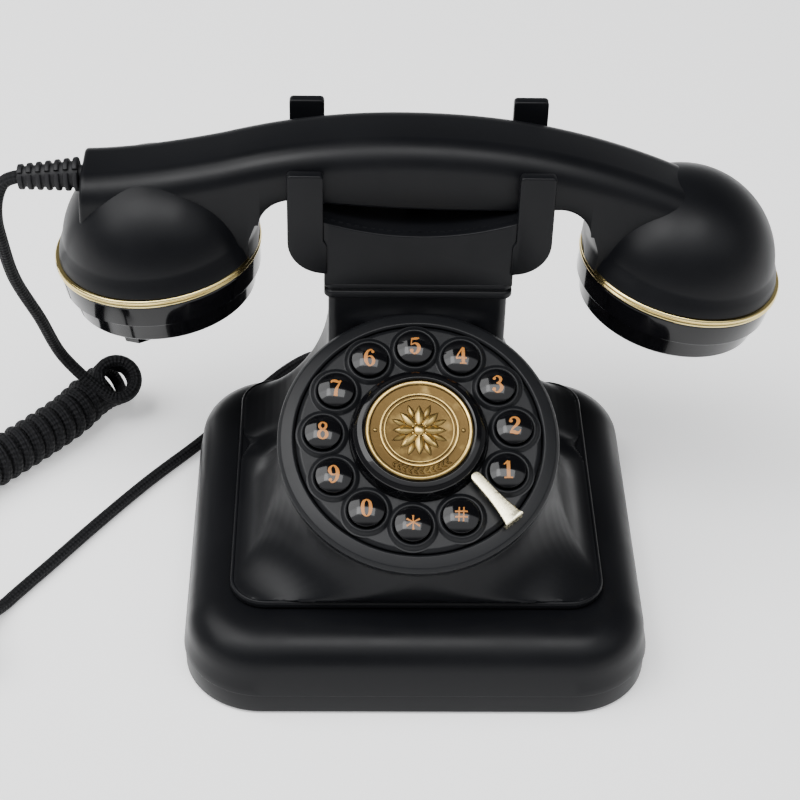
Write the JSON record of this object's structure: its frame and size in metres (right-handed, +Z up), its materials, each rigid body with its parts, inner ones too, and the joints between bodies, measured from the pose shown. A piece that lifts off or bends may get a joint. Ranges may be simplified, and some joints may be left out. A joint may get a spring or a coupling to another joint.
{
  "type": "cradle telephone",
  "caption": "French-style cradle telephone: square plinth, flared neck, round dial of push-buttons, horizontal handset on a pronged cradle, curly braided cord.",
  "frame": {"origin": "centre of the base's footprint on the table, under the middle foot", "axes": "+Z up, -Y towards the user and the dial, +X to the user's right along the handset"},
  "size_m": [0.329, 0.1755, 0.1517],
  "materials": {
    "satin_black": "satin moulded ABS",
    "gloss_black": "polished moulded plastic",
    "antique_brass": "antiqued, dark in the recesses",
    "pale_gold": "bright pale gold plating",
    "black_rubber": "matte",
    "braided_cord": "braided textile sleeve",
    "steel": "zinc plated",
    "board_green": "solder mask",
    "clear_plastic": "clear moulded plug"
  },
  "bodies": {
    "base": {"bottom_cover": "satin_black", "base_housing": "satin_black", "upper_housing": "satin_black", "dial_bezel": "satin_black", "dial_plate": "satin_black", "dial_hub": "gloss_black", "medallion": "antique_brass", "finger_stop": "pale_gold", "keypad_membrane": "black_rubber", "keypad_board": "board_green", "cradle": "satin_black", "hook_switch": "gloss_black", "hook_spring": "steel", "main_board": "board_green", "ringer": "black_rubber", "ballast": "steel", "line_jack": "gloss_black", "handset_jack": "gloss_black", "switch_case": "gloss_black", "feet": "black_rubber", "base_screws": "steel", "cradle_screws": "steel", "dial_screws": "steel", "cord_lead": "braided_cord", "cord_curl": "braided_cord", "cord_tail": "braided_cord", "cord_plug": "clear_plastic"},
    "handset": {"handset_shell": "satin_black", "handset_cover": "satin_black", "handset_weight": "steel", "handset_screws": "steel", "mouthpiece_ring": "pale_gold", "mouthpiece_cap": "gloss_black", "microphone": "steel", "earpiece_ring": "pale_gold", "earpiece_cap": "gloss_black", "receiver": "steel", "cord_boot": "black_rubber"},
    "hook_plunger": {"hook_plunger": "gloss_black"},
    "switch_knob": {"switch_knob": "gloss_black"},
    "button_1": {"button_1": "gloss_black"},
    "button_2": {"button_2": "gloss_black"},
    "button_3": {"button_3": "gloss_black"},
    "button_4": {"button_4": "gloss_black"},
    "button_5": {"button_5": "gloss_black"},
    "button_6": {"button_6": "gloss_black"},
    "button_7": {"button_7": "gloss_black"},
    "button_8": {"button_8": "gloss_black"},
    "button_9": {"button_9": "gloss_black"},
    "button_0": {"button_0": "gloss_black"},
    "button_star": {"button_star": "gloss_black"},
    "button_hash": {"button_hash": "gloss_black"}
  },
  "joints": [
    {"name": "button_1_press", "type": "slide", "parent": "base", "child": "button_1", "axis": [0, 0.4415, -0.8973], "range_m": [0, 0.0018], "stiffness_N_per_m": 400},
    {"name": "button_2_press", "type": "slide", "parent": "base", "child": "button_2", "axis": [0, 0.4415, -0.8973], "range_m": [0, 0.0018], "stiffness_N_per_m": 400},
    {"name": "button_3_press", "type": "slide", "parent": "base", "child": "button_3", "axis": [0, 0.4415, -0.8973], "range_m": [0, 0.0018], "stiffness_N_per_m": 400},
    {"name": "button_4_press", "type": "slide", "parent": "base", "child": "button_4", "axis": [0, 0.4415, -0.8973], "range_m": [0, 0.0018], "stiffness_N_per_m": 400},
    {"name": "button_5_press", "type": "slide", "parent": "base", "child": "button_5", "axis": [0, 0.4415, -0.8973], "range_m": [0, 0.0018], "stiffness_N_per_m": 400},
    {"name": "button_6_press", "type": "slide", "parent": "base", "child": "button_6", "axis": [0, 0.4415, -0.8973], "range_m": [0, 0.0018], "stiffness_N_per_m": 400},
    {"name": "button_7_press", "type": "slide", "parent": "base", "child": "button_7", "axis": [0, 0.4415, -0.8973], "range_m": [0, 0.0018], "stiffness_N_per_m": 400},
    {"name": "button_8_press", "type": "slide", "parent": "base", "child": "button_8", "axis": [0, 0.4415, -0.8973], "range_m": [0, 0.0018], "stiffness_N_per_m": 400},
    {"name": "button_9_press", "type": "slide", "parent": "base", "child": "button_9", "axis": [0, 0.4415, -0.8973], "range_m": [0, 0.0018], "stiffness_N_per_m": 400},
    {"name": "button_0_press", "type": "slide", "parent": "base", "child": "button_0", "axis": [0, 0.4415, -0.8973], "range_m": [0, 0.0018], "stiffness_N_per_m": 400},
    {"name": "button_star_press", "type": "slide", "parent": "base", "child": "button_star", "axis": [0, 0.4415, -0.8973], "range_m": [0, 0.0018], "stiffness_N_per_m": 400},
    {"name": "button_hash_press", "type": "slide", "parent": "base", "child": "button_hash", "axis": [0, 0.4415, -0.8973], "range_m": [0, 0.0018], "stiffness_N_per_m": 400},
    {"name": "handset_lift", "type": "slide", "parent": "base", "child": "handset", "axis": [0, 0, 1], "range_m": [0, 0.08]},
    {"name": "hook_rise", "type": "slide", "parent": "base", "child": "hook_plunger", "axis": [0, 0, 1], "range_m": [0, 0.004], "deforming": ["hook_spring"]},
    {"name": "ringer_switch", "type": "slide", "parent": "base", "child": "switch_knob", "axis": [1, 0, 0], "range_m": [-0.0025, 0.0025]}
  ],
  "couplings": [
    {"joint": "hook_rise", "follows": "handset_lift", "ratio": 0.05}
  ]
}
